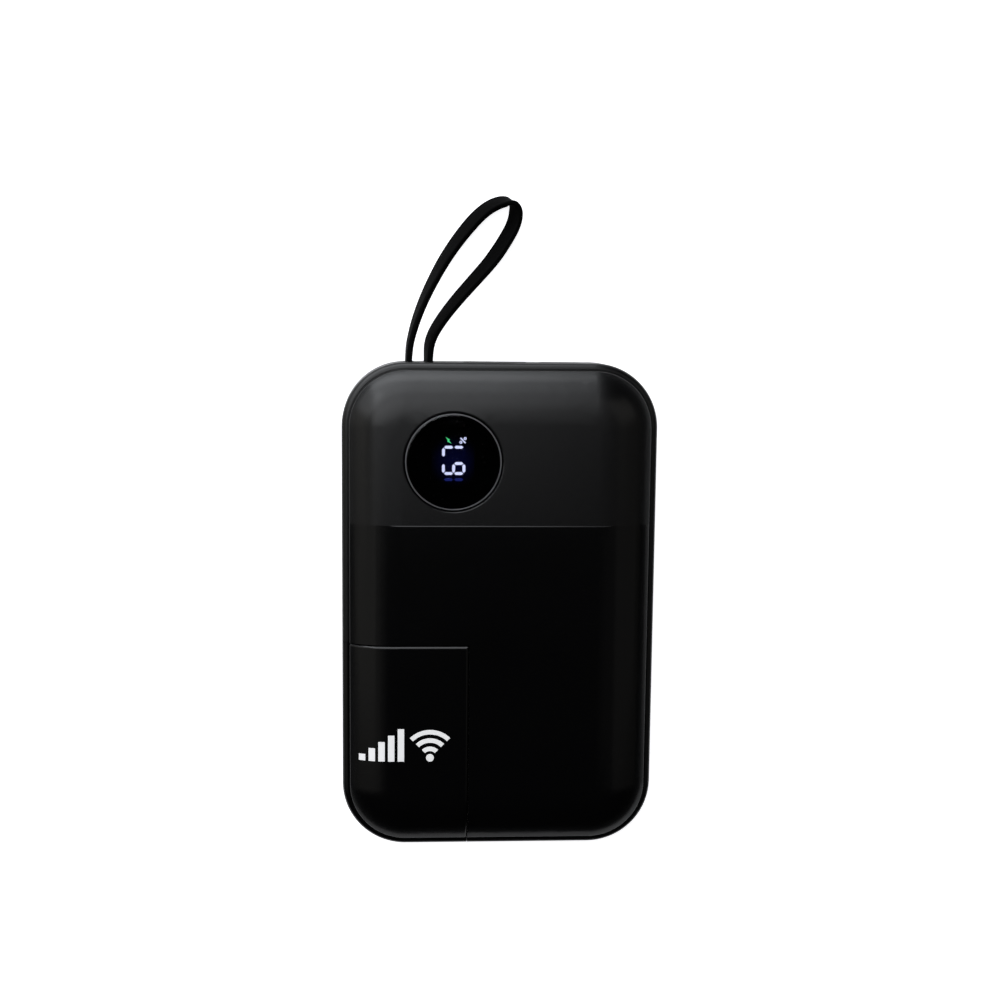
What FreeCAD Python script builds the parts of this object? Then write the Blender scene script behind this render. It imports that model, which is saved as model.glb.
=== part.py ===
"""Pocket mobile hotspot with a power bank, as separate pieces in one parametric document.

Frame: the hotspot lies on its back. +Z points out of its front face, +X to the right of that face
and +Y to its strap end. The origin is the middle of the flat back. Millimetres throughout.
"""
import FreeCAD, Part
import math
import os
import re
import Sketcher

SIZES = [
    # the casing
    ("body_width", 68.0, "across the two long sides"),
    ("body_length", 105.7, "from the strap end to the stick end"),
    ("body_thick", 23.0, "back to front"),
    ("corner_radius", 13.8, "outline corners"),
    ("rim_width", 1.6, "rim of the frame seen round each cover"),
    ("rim_round", 1.2, "rounding of the frame's outer edges"),
    ("groove_width", 0.4, "shadow gap between rim and cover"),
    ("groove_depth", 0.8, "depth of the shadow gap, down to the covers' seat"),
    ("frame_height", 13.4, "height of the frame's side band"),
    ("frame_wall", 3.0, "thickness of the frame's side wall"),
    ("cover_wall", 1.7, "thickness of the covers"),
    ("cover_edge", 0.4, "rounding where a cover's shoulder meets its side"),
    ("shoulder_width", 11.2, "how far the shoulder reaches in from a cover's edge"),
    ("shoulder_drop", 3.73, "how far it falls on the way out, by the cube of the distance"),
    ("hollow_width", 9.1, "the same reach inside a cover"),
    ("hollow_radius", 13.0, "arc of the shoulder inside a cover"),
    ("lip_inset", 3.2, "outside of the covers' locating lip, in from the outline"),
    ("lip_width", 1.0, "thickness of the locating lip"),
    ("lip_drop", 1.0, "how far the lip reaches into the frame"),
    ("hollow_reach", 0.4, "how far a cover's hollow is cut past its seat"),
    ("crease_place", 18.45, "line across the front face, towards the strap end"),
    ("crease_width", 0.2, "width of the fine groove along that line"),
    ("crease_depth", 0.05, "its depth, from a slope on the stick's side to an upright wall"),
    # the bay for the stick, in the corner at -X, -Y
    ("bay_side", -6.6, "x of the bay's side wall"),
    ("bay_end", -7.45, "y of the bay's end wall"),
    ("bay_wall", 1.6, "thickness of the bay's walls"),
    ("bay_gap", 0.12, "gap between the bay and the stick"),
    ("stick_wall", 1.4, "thickness of the stick's two inner walls"),
    ("stick_edge", 0.6, "rounding of the stick's edges along the gap"),
    # the display window
    ("lens_x", -10.3, "centre of the window"),
    ("lens_y", 32.0, "centre of the window"),
    ("lens_radius", 9.95, "window"),
    ("lens_thick", 1.0, "window"),
    ("lens_top", 22.85, "height of the window's face"),
    ("lens_round", 0.15, "rounding of the window's edge"),
    ("dish_radius", 8.8, "edge of the shallow dish in the window"),
    ("dish_depth", 0.22, "dish"),
    ("ring_radius", 10.6, "outside of the ring round the window"),
    ("ring_low", 22.1, "underside of the ring"),
    ("ring_sink", 0.1, "top of the ring's lip below the window's face"),
    ("ring_flange", 0.6, "top of its flange below the window's face"),
    ("ring_lip", 0.28, "width of the lip along the window"),
    ("ring_round", 0.08, "rounding of the ring's edges"),
    ("hole_round", 0.2, "rounding of the cover's edge round the ring"),
    ("gasket_width", 0.7, "gasket under the window"),
    ("gasket_thick", 0.25, "gasket"),
    ("boss_radius", 12.2, "boss under the window"),
    ("boss_low", 20.7, "underside of the boss"),
    # the display under it: three digits read with the strap end to the right
    ("module_width", 9.2, "light module, along X"),
    ("module_length", 13.6, "light module, along Y"),
    ("module_top", 20.4, "face of the light module"),
    ("digit_rise", 4.4, "bottom bar to top bar, centres"),
    ("digit_width", 2.16, "left bars to right bars, centres"),
    ("digit_pitch", 3.47, "digit to digit"),
    ("digit_base", -7.96, "x of the bottom bars"),
    ("digit_first", 27.02, "y of the middle of the first digit"),
    ("bar_width", 0.58, "width of a bar"),
    ("bar_gap", 0.12, "gap between the ends of two bars"),
    ("bar_thick", 0.15, "bar"),
    ("percent_x", -8.2, "centre of the percent sign"),
    ("percent_y", 36.5, "centre of the percent sign"),
    ("percent_long", 1.5, "length of its stroke"),
    ("percent_ring", 0.34, "radius of its dots"),
    # the main board
    ("board_low", 15.0, "underside of the main board"),
    ("board_thick", 1.2, "both boards"),
    ("board_side", 29.5, "long sides of the main board"),
    ("board_top", 49.5, "strap end of the main board"),
    ("board_step", 21.0, "where the main board ends beside the cells"),
    ("board_arm", -7.5, "right side of the arm over the stick socket"),
    ("board_end", -4.5, "end of that arm"),
    ("board_corner", 9.0, "its rounded corners"),
    ("screw_radius", 0.95, "M2 screws"),
    ("head_radius", 1.9, "screw heads"),
    ("head_height", 1.1, "screw heads"),
    ("screw_reach", 5.0, "length of a screw under its head"),
    ("pilot_play", 0.05, "between a screw and its hole"),
    ("post_radius", 2.4, "posts that carry the board"),
    # the cells
    ("cell_left", -3.9, "x of the cells' left side"),
    ("cell_width", 32.0, "one pouch cell"),
    ("cell_top", 18.5, "strap end of the cells"),
    ("cell_length", 62.5, "one pouch cell"),
    ("cell_thick", 7.4, "one pouch cell"),
    ("cell_low", 3.2, "underside of the rear cell"),
    ("cell_tape", 0.3, "tape between the cells"),
    ("cell_round", 2.4, "corners of a cell"),
    # sockets: A is the wide flat one, C the small oval one
    ("port_a_x", -1.0, "centre of the charging outlet"),
    ("port_c_x", 13.0, "centre of the charging inlet"),
    ("socket_x", -20.0, "centre of the stick's socket"),
    ("a_width", 13.1, "outside of an A socket"),
    ("a_height", 5.7, "outside of an A socket"),
    ("a_depth", 14.0, "A socket, mouth to back"),
    ("a_sheet", 0.3, "its metal"),
    ("c_width", 8.94, "outside of the C socket"),
    ("c_height", 3.16, "outside of the C socket"),
    ("c_depth", 7.4, "C socket, mouth to back"),
    ("c_sheet", 0.3, "its metal"),
    ("port_mouth", 52.45, "y of the two sockets' mouths"),
    ("port_play", 0.15, "between a socket and the frame"),
    ("port_corner", 0.6, "corners of a flat opening"),
    ("plug_width", 12.0, "the stick's plug"),
    ("plug_height", 4.5, "the stick's plug"),
    ("plug_reach", 11.8, "how far the plug stands out of the stick"),
    ("plug_root", 6.0, "how far it goes into the stick"),
    # the strap
    ("strap_left", -19.6, "x of the left slot"),
    ("strap_right", -15.3, "x of the right slot"),
    ("slot_width", 2.3, "strap slots"),
    ("slot_height", 4.8, "strap slots"),
    ("pin_radius", 0.8, "steel pin that holds the strap"),
    ("pin_y", 49.0, "steel pin"),
    ("lug_thick", 1.2, "lugs that carry the pin"),
    ("lug_height", 3.2, "lugs that carry the pin"),
    ("lug_apart", 2.8, "from a slot's middle to its lug's middle"),
    ("strap_thick", 2.0, "the strap's plain tube"),
    # the power button, in the right side
    ("button_y", 30.0, "middle of the power button"),
    ("button_length", 9.0, "power button, along Y"),
    ("button_height", 3.2, "power button, along Z"),
    ("button_sink", 0.35, "its face below the frame's side"),
    ("button_play", 0.1, "between the button and the frame"),
    ("flange_thick", 0.6, "flange that keeps the button in"),
    ("flange_reach", 0.8, "how far the flange stands out round the button"),
    ("dish_length", 11.0, "thumb dish round the button"),
    # the stick
    ("card_low", 8.7, "underside of the stick's board"),
    ("card_left", -29.8, "stick's board"),
    ("card_right", -9.2, "stick's board"),
    ("card_end", -49.0, "stick's board"),
    ("card_top", -9.65, "stick's board"),
    ("tray_x", -14.6, "middle of the card tray"),
    ("tray_width", 10.4, "card tray"),
    ("tray_length", 14.6, "card tray inside the wall"),
    ("tray_low", 7.15, "underside of the card tray"),
    ("tray_thick", 1.1, "card tray"),
    ("door_width", 11.4, "the tray's door"),
    ("door_height", 2.6, "the tray's door"),
    ("door_thick", 1.0, "the tray's door"),
    ("chip_width", 8.8, "subscriber card"),
    ("chip_length", 12.3, "subscriber card"),
    ("chip_thick", 0.67, "subscriber card"),
    ("reset_y", -25.0, "middle of the reset button"),
    ("reset_length", 4.0, "reset button, along Y"),
    ("reset_height", 1.8, "reset button, along Z"),
    ("ink_thick", 0.03, "printed mark"),
    ("ink_x", -20.25, "middle of the printed mark"),
    ("ink_low", -33.0, "lower edge of the printed mark"),
    ("ink_height", 7.2, "printed mark"),
]

# The strap's route: out of the left slot, down to the surface, round the far end and back. Each
# point is x, y, z; the first and last touch the steel pin.
STRAP_ROUTE = [
    (-19.6, 49.8, 11.5),
    (-19.7, 54.6, 11.4),
    (-18.7, 59.4, 10.4),
    (-16.8, 64.8, 8.2),
    (-14.1, 70.4, 5.5),
    (-11.0, 75.8, 3.5),
    (-7.2, 81.0, 2.5),
    (-3.5, 85.1, 2.2),
    (-0.1, 87.2, 2.3),
    (2.8, 87.6, 2.2),
    (4.2, 85.7, 2.3),
    (3.7, 82.6, 2.2),
    (1.7, 79.0, 2.8),
    (-1.3, 74.6, 4.0),
    (-5.4, 70.1, 5.9),
    (-9.4, 65.7, 8.1),
    (-12.8, 61.4, 10.0),
    (-15.0, 57.6, 11.2),
    (-15.4, 53.8, 11.5),
    (-15.3, 49.8, 11.5),
]

doc = FreeCAD.newDocument("Hotspot")
sheet = doc.addObject("Spreadsheet::Sheet", "Sizes")
for row, (alias, value, note) in enumerate(SIZES, start=1):
    sheet.set(f"A{row}", alias)
    sheet.set(f"B{row}", str(value))
    sheet.set(f"C{row}", note)
    sheet.setAlias(f"B{row}", alias)
doc.recompute()

pieces = {}    # node name: document object
# x and y of the main board's screws
SCREWS = [("-25.5", "43.5"), ("25.5", "43.5"), ("25.5", "23.8"), ("-25.5", "14")]


def size(alias):
    """The number in a cell of the sheet."""
    return float(sheet.get(alias))


def link(text):
    """An expression with the sheet's name before each of its aliases."""
    return re.sub(r"\b([a-z]+(?:_[a-z]+)+)\b", r"Sizes.\1", str(text))


def bind(thing, **expressions):
    """Ties properties to expressions; x, y and z are the object's place."""
    for name, text in expressions.items():
        path = f"Placement.Base.{name}" if name in ("x", "y", "z") else name
        thing.setExpression(path, link(text))
    return thing


def piece(label, thing):
    """Names a finished sub-part."""
    thing.Label = label
    pieces[label] = thing
    return thing


def block(name, x, y, z):
    """A box between the low and high expression of each axis."""
    box = doc.addObject("Part::Box", name)
    bind(box, x=x[0], y=y[0], z=z[0])
    for side, (low, high) in zip(("Length", "Width", "Height"), (x, y, z)):
        box.setExpression(side, link(f"({high}) - ({low})"))
    return box


def around(middle, width):
    """The low and high expression of a width about its middle."""
    return f"{middle} - ({width}) / 2", f"{middle} + ({width}) / 2"


TURNS = {"x": ((0, 1, 0), 90), "y": ((1, 0, 0), -90), "z": ((0, 0, 1), 0)}


def rod(name, axis, radius, start, length, **place):
    """A cylinder along an axis from its start; place holds its other two coordinates."""
    cylinder = doc.addObject("Part::Cylinder", name)
    turn, angle = TURNS[axis]
    cylinder.Placement.Rotation = FreeCAD.Rotation(FreeCAD.Vector(*turn), angle)
    place[axis] = start
    return bind(cylinder, Radius=radius, Height=length, **place)


def fuse(name, *shapes):
    fusion = doc.addObject("Part::MultiFuse", name)
    fusion.Shapes = list(shapes)
    return fusion


def cut(name, base, *tools):
    """The base without the tools."""
    difference = doc.addObject("Part::Cut", name)
    difference.Base = base
    difference.Tool = tools[0] if len(tools) == 1 else fuse(name + "Tools", *tools)
    return difference


def common(name, first, second):
    overlap = doc.addObject("Part::Common", name)
    overlap.Base = first
    overlap.Tool = second
    return overlap


def group(name, *shapes):
    compound = doc.addObject("Part::Compound", name)
    compound.Links = list(shapes)
    return compound


def rounded(name, base, radius, wanted):
    """The base with a fillet on each edge for which wanted(edge) is true."""
    doc.recompute()
    fillet = doc.addObject("Part::Fillet", name)
    fillet.Base = base
    found = [i for i, edge in enumerate(base.Shape.Edges, start=1) if wanted(edge)]
    if not found:
        raise ValueError(f"{name} finds no edge to round")
    fillet.Edges = [(i, radius, radius) for i in found]
    return fillet


def level(axis, place):
    """Whether an edge lies wholly at that place on the axis."""
    key = "xyz".index(axis)

    def test(edge):
        box = edge.BoundBox
        low = (box.XMin, box.YMin, box.ZMin)[key]
        high = (box.XMax, box.YMax, box.ZMax)[key]
        return abs(low - place) < 1e-3 and abs(high - place) < 1e-3

    return test


def along(axis):
    """Whether an edge is a straight one along the axis."""
    key = "xyz".index(axis)

    def test(edge):
        if edge.Curve.TypeId != "Part::GeomLine":
            return False
        return abs(abs(edge.tangentAt(edge.FirstParameter)[key]) - 1) < 1e-6

    return test


def softBlock(name, x, y, z, axis, radius):
    """A box whose four edges along the axis are rounded."""
    return rounded(name, block(name + "Box", x, y, z), radius, along(axis))


def outline(name, inset, height):
    """A sketch of the casing's outline, moved in by the inset, at a height."""
    sketch = doc.addObject("Sketcher::SketchObject", name)
    half, long, turn = 30.0, 50.0, 10.0
    corners = [(1, -1), (1, 1), (-1, 1), (-1, -1)]
    for i, (sx, sy) in enumerate(corners):
        px, py = corners[i - 1]
        before = FreeCAD.Vector(px * half, py * long, 0)
        here = FreeCAD.Vector(sx * half, sy * long, 0)
        step = (here - before).normalize() * turn
        sketch.addGeometry(Part.LineSegment(before + step, here - step))
        centre = FreeCAD.Vector(sx * (half - turn), sy * (long - turn), 0)
        circle = Part.Circle(centre, FreeCAD.Vector(0, 0, 1), turn)
        start = math.radians(90 * (i - 1))
        sketch.addGeometry(Part.ArcOfCircle(circle, start, start + math.pi / 2))
    for i in range(8):
        sketch.addConstraint(Sketcher.Constraint("Tangent", i, 2, (i + 1) % 8, 1))
    for i in (0, 4):
        sketch.addConstraint(Sketcher.Constraint("Horizontal", i))
        sketch.addConstraint(Sketcher.Constraint("Vertical", i + 2))
    for i in (3, 5, 7):
        sketch.addConstraint(Sketcher.Constraint("Equal", 1, i))
    sketch.addConstraint(Sketcher.Constraint("Symmetric", 1, 3, 5, 3, -1, 1))
    named = [
        ("across", ("DistanceX", 6, 1, 2, 1, 2 * half), f"body_width - 2 * ({inset})"),
        ("along", ("DistanceY", 0, 1, 4, 1, 2 * long), f"body_length - 2 * ({inset})"),
        ("corner", ("Radius", 1, turn), f"corner_radius - ({inset})"),
    ]
    for label, constraint, text in named:
        at = sketch.addConstraint(Sketcher.Constraint(*constraint))
        sketch.renameConstraint(at, label)
        sketch.setExpression(f"Constraints.{label}", link(text))
    return bind(sketch, z=height)


def prism(name, inset, low, high):
    """The casing's outline, moved in by the inset, between two heights."""
    extrusion = doc.addObject("Part::Extrusion", name)
    extrusion.Base = outline(name + "Outline", inset, low)
    extrusion.DirMode = "Custom"
    extrusion.Dir = FreeCAD.Vector(0, 0, 1)
    extrusion.Solid = True
    return bind(extrusion, LengthFwd=f"({high}) - ({low})")


def planeOf(body, role):
    return next(f for f in body.Origin.OriginFeatures if f.Role == role)


def profile(body, role, points):
    """A closed sketch on one of the body's planes, each corner tied to two expressions."""
    sketch = body.newObject("Sketcher::SketchObject", body.Name + "Profile")
    sketch.AttachmentSupport = (planeOf(body, role), [""])
    sketch.MapMode = "FlatFace"
    count = len(points)
    turns = [2 * math.pi * i / count for i in range(count)]
    start = [FreeCAD.Vector(math.cos(turn), math.sin(turn), 0) for turn in turns]
    for i in range(count):
        sketch.addGeometry(Part.LineSegment(start[i], start[(i + 1) % count]))
    for i in range(count):
        sketch.addConstraint(Sketcher.Constraint("Coincident", i, 2, (i + 1) % count, 1))
    for i, point in enumerate(points):
        for kind, text, value in zip(("DistanceX", "DistanceY"), point, start[i]):
            at = sketch.addConstraint(Sketcher.Constraint(kind, i, 1, value))
            sketch.setExpression(f"Constraints[{at}]", link(text))
    return sketch


def turned(name, points):
    """A body of revolution about its own Z from a profile of (radius, height) corners."""
    body = doc.addObject("PartDesign::Body", name)
    sketch = profile(body, "XZ_Plane", points)
    revolution = body.newObject("PartDesign::Revolution", name + "Turn")
    revolution.Profile = sketch
    revolution.ReferenceAxis = (sketch, ["V_Axis"])
    revolution.Angle = 360
    return body


def plate(name, points, thick, role="XY_Plane"):
    """A body padded up from a flat outline on one of its planes."""
    body = doc.addObject("PartDesign::Body", name)
    sketch = profile(body, role, points)
    pad = body.newObject("PartDesign::Pad", name + "Pad")
    pad.Profile = sketch
    bind(pad, Length=thick)
    return body


def dome(name, low, top):
    """A cover's outside: upright sides, then a shoulder that runs into the flat face without a break."""
    steps = 8
    edge = f"{top} - shoulder_drop"
    sections = []
    for i in range(steps + 1):
        inset = f"rim_width + shoulder_width * {i / steps}"
        height = f"{top} - shoulder_drop * {(1 - i / steps) ** 3}"
        sections.append(outline(f"{name}Section{i}", inset, height))
    loft = doc.addObject("Part::Loft", name + "Shoulder")
    loft.Sections = sections
    loft.Solid = True
    loft.Ruled = False
    return fuse(name, loft, prism(name + "Side", "rim_width", low, edge))


def makeForms():
    """The shapes that the covers, the frame and the stick's casing are cut from."""
    shell = {}
    seat = "body_thick / 2 + frame_height / 2 - groove_depth"
    inset = "rim_width + cover_wall - (hollow_radius - hollow_width)"
    slab = prism("innerSlab", inset, "body_thick / 4", "body_thick - cover_wall")
    top = size("body_thick") - size("cover_wall")
    domed = rounded("innerDomed", slab, size("hollow_radius") - size("cover_wall"), level("z", top))
    column = prism("innerColumn", "rim_width + cover_wall", f"{seat} - hollow_reach", "body_thick + 1")
    shell["inner"] = common("innerForm", domed, column)
    outer = dome("outerForm", seat, "body_thick")
    doc.recompute()
    edge = size("body_thick") - size("shoulder_drop")
    soft = rounded("outerSoft", outer, size("cover_edge"), level("z", edge))
    low, high = "crease_place - crease_width", "crease_place"
    above = "body_thick + 1"
    line = plate("creaseLine", [(low, "body_thick"), (high, "body_thick - crease_depth"), (high, above), (low, above)],
                 "2 * body_width", "YZ_Plane")
    bind(line, x="-body_width")
    shell["front"] = cut("frontForm", soft, line)
    shell["rear"] = mirrored("rearForm", soft)
    shell["rearInner"] = mirrored("rearInnerForm", shell["inner"])
    belt = prism("beltBlock", "0", "body_thick / 2 - frame_height / 2", "body_thick / 2 + frame_height / 2")
    ends = [size("body_thick") / 2 + side * size("frame_height") / 2 for side in (-1, 1)]
    softBelt = rounded("beltSoft", belt, size("rim_round"), lambda e: any(level("z", z)(e) for z in ends))
    seats = [prism(name, "rim_width - groove_width", low, high) for name, low, high in (
        ("seatHigh", "body_thick / 2 + frame_height / 2 - groove_depth", "body_thick"),
        ("seatLow", "0", "body_thick / 2 - frame_height / 2 + groove_depth"))]
    shell["belt"] = cut("beltForm", softBelt, *seats)
    shell["cavity"] = prism("cavity", "frame_wall", "0", "body_thick")
    return shell


def mirrored(name, shape):
    """The same shape on the other side of the casing's middle plane."""
    mirror = doc.addObject("Part::Mirroring", name)
    mirror.Source = shape
    mirror.Normal = FreeCAD.Vector(0, 0, 1)
    mirror.setExpression("Base.z", link("body_thick / 2"))
    return mirror


def corner(name, side, end):
    """Everything in the stick's corner of the casing, up to a side and an end face."""
    return block(name, ("-body_width", side), ("-body_length", end), ("-1", "body_thick + 1"))


def makeCasing(shell):
    bay = corner("bay", "bay_side", "bay_end")
    walls = corner("bayWalls", "bay_side + bay_wall", "bay_end + bay_wall")
    nearWalls = corner("bayWallsClear", "bay_side + bay_wall + 0.3", "bay_end + bay_wall + 0.3")
    lipLow = "body_thick / 2 + frame_height / 2 - groove_depth - lip_drop"
    lip = cut("lip", cut("lipRing", prism("lipOut", "lip_inset", lipLow, f"{lipLow} + lip_drop + 0.6"),
                         prism("lipIn", "lip_inset + lip_width", "0", "body_thick")), nearWalls)

    hollow = cut("frontHollow", shell["inner"], walls)
    centre = {"x": "lens_x", "y": "lens_y"}
    boss = rod("boss", "z", "boss_radius", "boss_low", "body_thick - cover_wall - boss_low + 0.2", **centre)
    seat = "lens_top - lens_thick"
    holes = [
        rod("windowHole", "z", "lens_radius + 0.05", seat, "5", **centre),
        rod("gasketHole", "z", "lens_radius", f"{seat} - gasket_thick", "5", **centre),
        rod("ringHole", "z", "ring_radius + 0.03", "ring_low", "5", **centre),
        rod("sightHole", "z", "lens_radius - gasket_width", "0", "body_thick", **centre),
    ]
    front = fuse("frontBody", cut("frontShell", shell["front"], hollow), boss, lip)
    sharp = cut("frontCoverSharp", front, bay, *holes)
    piece("front_cover", rounded("frontCover", sharp, size("hole_round"), roundWindow))

    rearHollow = cut("rearHollow", shell["rearInner"], walls)
    posts, pilots = [], []
    for i, (x, y) in enumerate(SCREWS):
        posts.append(rod(f"post{i}", "z", "post_radius", "1", "board_low - 1", x=x, y=y))
        pilots.append(rod(f"pilot{i}", "z", "screw_radius + pilot_play", "board_low - screw_reach",
                          "screw_reach + 1", x=x, y=y))
    rear = fuse("rearBody", cut("rearShell", shell["rear"], rearHollow), mirrored("rearLip", lip), *posts)
    piece("rear_cover", cut("rearCover", rear, bay, *pilots))

    middle = "body_thick / 2"
    room = cut("frameRoom", shell["cavity"], walls)
    lugRun = ("pin_y - 1.4", "body_length / 2 - frame_wall + 0.4")
    lugs = [block(name, around(x, "lug_thick"), lugRun, around(middle, "lug_height"))
            for name, x in (("lugLeft", "strap_left - lug_apart"), ("lugRight", "strap_right + lug_apart"))]
    ends = ("body_length / 2 - frame_wall - 0.5", "body_length / 2 + 1")
    slots = [softBlock(f"slot{i}", around(x, "slot_width"), ends, around(middle, "slot_height"), "y", 0.5)
             for i, x in enumerate(("strap_left", "strap_right"))]
    flat = (around("board_low - a_height / 2", "a_height + 2 * port_play"), "y", size("port_corner"))
    oval = (around("board_low - c_height / 2", "c_height + 2 * port_play"), "y", size("c_height") / 2 + 0.12)
    socketRun = ("bay_end - 1", "bay_end + bay_wall + 1")
    tools = slots + [
        rod("pinHole", "x", "pin_radius + 0.02", "strap_left - 5", "16", y="pin_y", z=middle),
        softBlock("outletHole", around("port_a_x", "a_width + 2 * port_play"), ends, *flat),
        softBlock("inletHole", around("port_c_x", "c_width + 2 * port_play"), ends, *oval),
        softBlock("socketHole", around("socket_x", "a_width + 2 * port_play"), socketRun, *flat),
        softBlock("buttonHole", ("body_width / 2 - frame_wall - 1", "body_width / 2 + 1"),
                  around("button_y", "button_length + 2 * button_play"),
                  around(middle, "button_height + 2 * button_play"), "x", 1.68),
        thumbDish(),
    ]
    frame = fuse("frameBody", cut("frameRing", shell["belt"], room), *lugs)
    piece("mid_frame", cut("midFrame", frame, bay, *tools))


def roundWindow(edge):
    """Whether an edge is the cover's upper edge round the window's ring."""
    radius = size("ring_radius") + 0.03
    ends = [edge.valueAt(parameter) for parameter in edge.ParameterRange]
    away = [math.hypot(end.x - size("lens_x"), end.y - size("lens_y")) for end in ends]
    near = all(abs(distance - radius) < 0.01 for distance in away)
    return near and edge.BoundBox.ZMin > size("lens_top") - 0.3 and edge.BoundBox.ZLength < 0.3


def thumbDish():
    """A ball that leaves a shallow dish in the frame's side, as deep as the button is sunk."""
    depth = size("button_sink")
    half = size("dish_length") / 2
    radius = (half ** 2 + depth ** 2) / (2 * depth)
    ball = doc.addObject("Part::Sphere", "thumbDish")
    ball.Radius = radius
    return bind(ball, x=f"body_width / 2 - button_sink + {radius}", y="button_y", z="body_thick / 2")


def makeWindow():
    top, low = "lens_top", "lens_top - lens_thick"
    disc = turned("lensDisc", [("0", low), ("lens_radius - 0.1", low), ("lens_radius", f"{low} + 0.1"),
                               ("lens_radius", top), ("0", top)])
    bind(disc, x="lens_x", y="lens_y")
    soft = rounded("lensSoft", disc, size("lens_round"), level("z", size("lens_top")))
    dish = doc.addObject("Part::Sphere", "lensDish")
    bind(dish, Radius="(dish_radius * dish_radius + dish_depth * dish_depth) / (2 * dish_depth)",
         x="lens_x", y="lens_y", z="lens_top - dish_depth")
    doc.recompute()
    dish.setExpression("Placement.Base.z", link("lens_top - dish_depth") + " + Radius / 1mm")
    piece("display_lens", cut("displayLens", soft, dish))
    low, top, inner = "ring_low", "lens_top - ring_sink", "lens_radius + 0.04"
    flange, outer = "lens_top - ring_flange", f"{inner} + ring_lip"
    ring = turned("bezelRing", [(inner, low), ("ring_radius", low), ("ring_radius", flange), (outer, flange),
                                (outer, f"{top} - ring_round"), (f"{outer} - ring_round", top),
                                (f"{inner} + ring_round", top), (inner, f"{top} - ring_round")])
    piece("display_bezel_ring", bind(ring, x="lens_x", y="lens_y"))
    top = "lens_top - lens_thick"
    gasket = turned("gasket", [("lens_radius - gasket_width", f"{top} - gasket_thick"),
                               ("lens_radius - 0.05", f"{top} - gasket_thick"),
                               ("lens_radius - 0.05", top), ("lens_radius - gasket_width", top)])
    piece("display_gasket", bind(gasket, x="lens_x", y="lens_y"))


BARS = {    # each bar's middle, as shares of the digit's half width and half rise, and its direction
    "a": (0, 1, "y"), "b": (1, 0.5, "x"), "c": (1, -0.5, "x"), "d": (0, -1, "y"),
    "e": (-1, -0.5, "x"), "f": (-1, 0.5, "x"), "g": (0, 0, "y"),
}


def bar(name, digit, letter):
    """One bar of a digit. The digits' tops point to -X, and they are read towards +Y."""
    across, up, axis = BARS[letter]
    x = f"digit_base - digit_rise / 2 * (1 + {up})"
    y = f"digit_first + digit_pitch * {digit} + digit_width / 2 * {across}"
    long = "digit_rise / 2 - bar_width - bar_gap" if axis == "x" else "digit_width - bar_width - bar_gap"
    sides = {"x": "bar_width", "y": "bar_width", axis: long}
    face = ("module_top", "module_top + bar_thick")
    return block(name, around(x, sides["x"]), around(y, sides["y"]), face)


def makeDisplay():
    piece("display_module", softBlock("displayModule", around("lens_x", "module_width"),
                                      around("lens_y", "module_length"),
                                      ("board_low + board_thick", "module_top"), "z", 0.4))
    lit = {1: "acdefg", 2: "abc"}
    unlit = {0: "bc", 1: "b", 2: "defg"}
    bright = [bar(f"lit{digit}{letter}", digit, letter) for digit in lit for letter in lit[digit]]
    dim = [bar(f"dim{digit}{letter}", digit, letter) for digit in unlit for letter in unlit[digit]]
    face = ("module_top", "module_top + bar_thick")
    stroke = block("percentStroke", around("percent_x", "percent_long"), around("percent_y", "percent_ring"), face)
    dots = [rod(f"percentDot{i}", "z", "percent_ring", face[0], "bar_thick",
                x=f"percent_x + {side} * percent_long / 2.5", y=f"percent_y + {side} * percent_long / 3")
            for i, side in enumerate((-1, 1))]
    piece("display_digits_lit", group("digitsLit", *bright, stroke, *dots))
    piece("display_digits_dim", group("digitsDim", *dim))
    bolt = plate("boltIcon", [("-11.94", "37.21"), ("-10.96", "36.67"), ("-11.20", "36.51"), ("-10.66", "35.79"),
                              ("-11.64", "36.33"), ("-11.40", "36.49")], "bar_thick")
    piece("display_bolt_icon", bind(bolt, z="module_top"))


def screwAt(name, x, y):
    under = "board_low + board_thick"
    screw = turned(name, [("0", "-screw_reach"), ("screw_radius", "-screw_reach"), ("screw_radius", "0"),
                          ("head_radius", "0"), ("head_radius", "head_height * 0.6"),
                          ("head_radius * 0.7", "head_height"), ("0", "head_height")])
    bind(screw, x=x, y=y, z=under)
    cross = [block(f"{name}Drive{i}", around(x, sides[0]), around(y, sides[1]),
                   (f"{under} + head_height * 0.4", f"{under} + 2 * head_height"))
             for i, sides in enumerate((("1.9", "0.5"), ("0.5", "1.9")))]
    return cut(name + "Driven", screw, *cross)


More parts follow.
